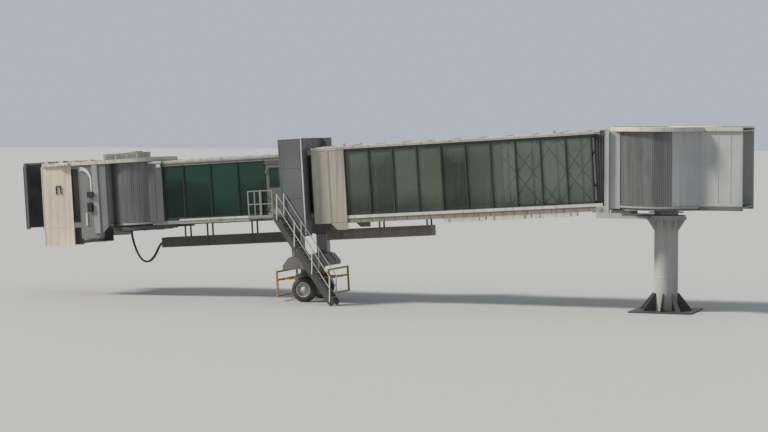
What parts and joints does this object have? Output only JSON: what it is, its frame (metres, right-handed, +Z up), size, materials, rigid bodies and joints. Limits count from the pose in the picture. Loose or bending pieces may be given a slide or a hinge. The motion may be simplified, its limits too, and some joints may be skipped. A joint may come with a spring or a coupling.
{
  "type": "passenger boarding bridge",
  "caption": "Apron-drive jet bridge with glazed telescopic tunnels, a lift and steering bogie, a turning cab with canopy and a round pedestal at the terminal.",
  "frame": {"origin": "where the swing axis of the rotunda meets the ground", "axes": "+X towards the terminal, -X out along the tunnels to the cab, +Z up"},
  "size_m": [29.9902, 4.54, 7],
  "materials": {
    "pedestal": "satin",
    "column": "satin",
    "deck": "matte",
    "white": "satin",
    "cream": "satin",
    "grey": "satin",
    "frame": "satin",
    "light": "satin",
    "dark": "satin",
    "yellow": "satin",
    "tyre": "matte",
    "rubber": "matte",
    "fabric": "matte",
    "slats": "satin",
    "outer_glass": "gloss",
    "inner_glass": "gloss",
    "unit": "satin",
    "rail": "satin"
  },
  "bodies": {
    "pedestal": {"pedestal_base": "pedestal", "pedestal_column": "column", "rotunda_floor": "deck", "rotunda_shell": "light", "rotunda_roof": "white", "rotunda_curtains": "slats"},
    "swing": {"swing_frame": "light", "rotunda_bellows": "fabric"},
    "outer_tunnel": {"outer_floor": "cream", "outer_roof": "white", "outer_frame_left": "frame", "outer_frame_right": "frame", "outer_glass": "outer_glass", "outer_portal": "cream", "outer_trough": "grey"},
    "inner_tunnel": {"inner_floor": "light", "inner_roof": "white", "inner_frame_left": "light", "inner_frame_right": "light", "inner_glass": "inner_glass", "inner_trough": "dark", "head_frame": "grey", "drum_base": "dark", "lift_portal": "light", "service_landing": "dark", "landing_rails": "rail", "cable_loop": "rubber"},
    "service_door": {"service_door": "light"},
    "stair": {"service_stair": "dark", "stair_handrails": "rail"},
    "lift_carriage": {"lift_columns": "grey", "carriage": "grey"},
    "bogie": {"bogie_frame": "dark", "bogie_guard": "yellow"},
    "wheel_left": {"tyre_left": "tyre", "rim_left": "white"},
    "wheel_right": {"tyre_right": "tyre", "rim_right": "white"},
    "cab": {"cab_floor": "deck", "cab_roof": "white", "cab_wall_left": "light", "cab_wall_right": "cream", "cab_bulkhead": "grey", "cab_curtains": "slats", "cab_bumper": "rubber", "roof_unit": "unit"},
    "cab_door_left": {"cab_door_left": "light"},
    "cab_door_right": {"cab_door_right": "light"},
    "canopy": {"canopy_hoop": "grey", "canopy_bellows": "fabric"}
  },
  "joints": [
    {"name": "swing", "type": "hinge", "parent": "pedestal", "child": "swing", "pos_m": [0, 0, 4.05], "axis": [0, 0, 1], "range_deg": [-50, 50], "deforming": ["rotunda_curtains"]},
    {"name": "slope", "type": "hinge", "parent": "swing", "child": "outer_tunnel", "pos_m": [-2.25, 0, 3.9], "axis": [0, 1, 0], "range_deg": [-1.5, 2.5], "deforming": ["rotunda_bellows"]},
    {"name": "extend", "type": "slide", "parent": "outer_tunnel", "child": "inner_tunnel", "axis": [-0.9981, 0, -0.061], "range_m": [0, 6]},
    {"name": "lift", "type": "slide", "parent": "inner_tunnel", "child": "lift_carriage", "axis": [0.061, 0, -0.9981], "range_m": [-0.45, 0.6]},
    {"name": "steer", "type": "hinge", "parent": "lift_carriage", "child": "bogie", "pos_m": [-14.43516, 0, 0.5], "axis": [-0.061, 0, 0.9981], "range_deg": [-90, 90]},
    {"name": "roll_left", "type": "hinge", "parent": "bogie", "child": "wheel_left", "pos_m": [-14.43516, 0.95, 0.5], "axis": [0, 1, 0], "continuous": true},
    {"name": "roll_right", "type": "hinge", "parent": "bogie", "child": "wheel_right", "pos_m": [-14.43516, -0.95, 0.5], "axis": [0, 1, 0], "continuous": true},
    {"name": "cab_turn", "type": "hinge", "parent": "inner_tunnel", "child": "cab", "pos_m": [-21.93462, 0, 3.04669], "axis": [-0.061, 0, 0.9981], "range_deg": [-35, 60], "deforming": ["cab_curtains"]},
    {"name": "canopy_slide", "type": "slide", "parent": "cab", "child": "canopy", "axis": [-0.9981, 0, -0.061], "range_m": [0, 0.6], "deforming": ["canopy_bellows"]},
    {"name": "cab_door_left_hinge", "type": "hinge", "parent": "cab", "child": "cab_door_left", "pos_m": [-23.01713, 0.286, 3.18086], "axis": [0.061, 0, -0.9981], "range_deg": [0, 85]},
    {"name": "cab_door_right_hinge", "type": "hinge", "parent": "cab", "child": "cab_door_right", "pos_m": [-23.01713, -0.966, 3.18086], "axis": [-0.061, 0, 0.9981], "range_deg": [0, 85]},
    {"name": "service_door_hinge", "type": "hinge", "parent": "inner_tunnel", "child": "service_door", "pos_m": [-16.00023, -1.0523, 3.68016], "axis": [0.061, 0, -0.9981], "range_deg": [0, 90]},
    {"name": "stair_pivot", "type": "hinge", "parent": "inner_tunnel", "child": "stair", "pos_m": [-15.09374, -2.06, 3.40498], "axis": [0, 1, 0], "range_deg": [-8, 16]}
  ]
}
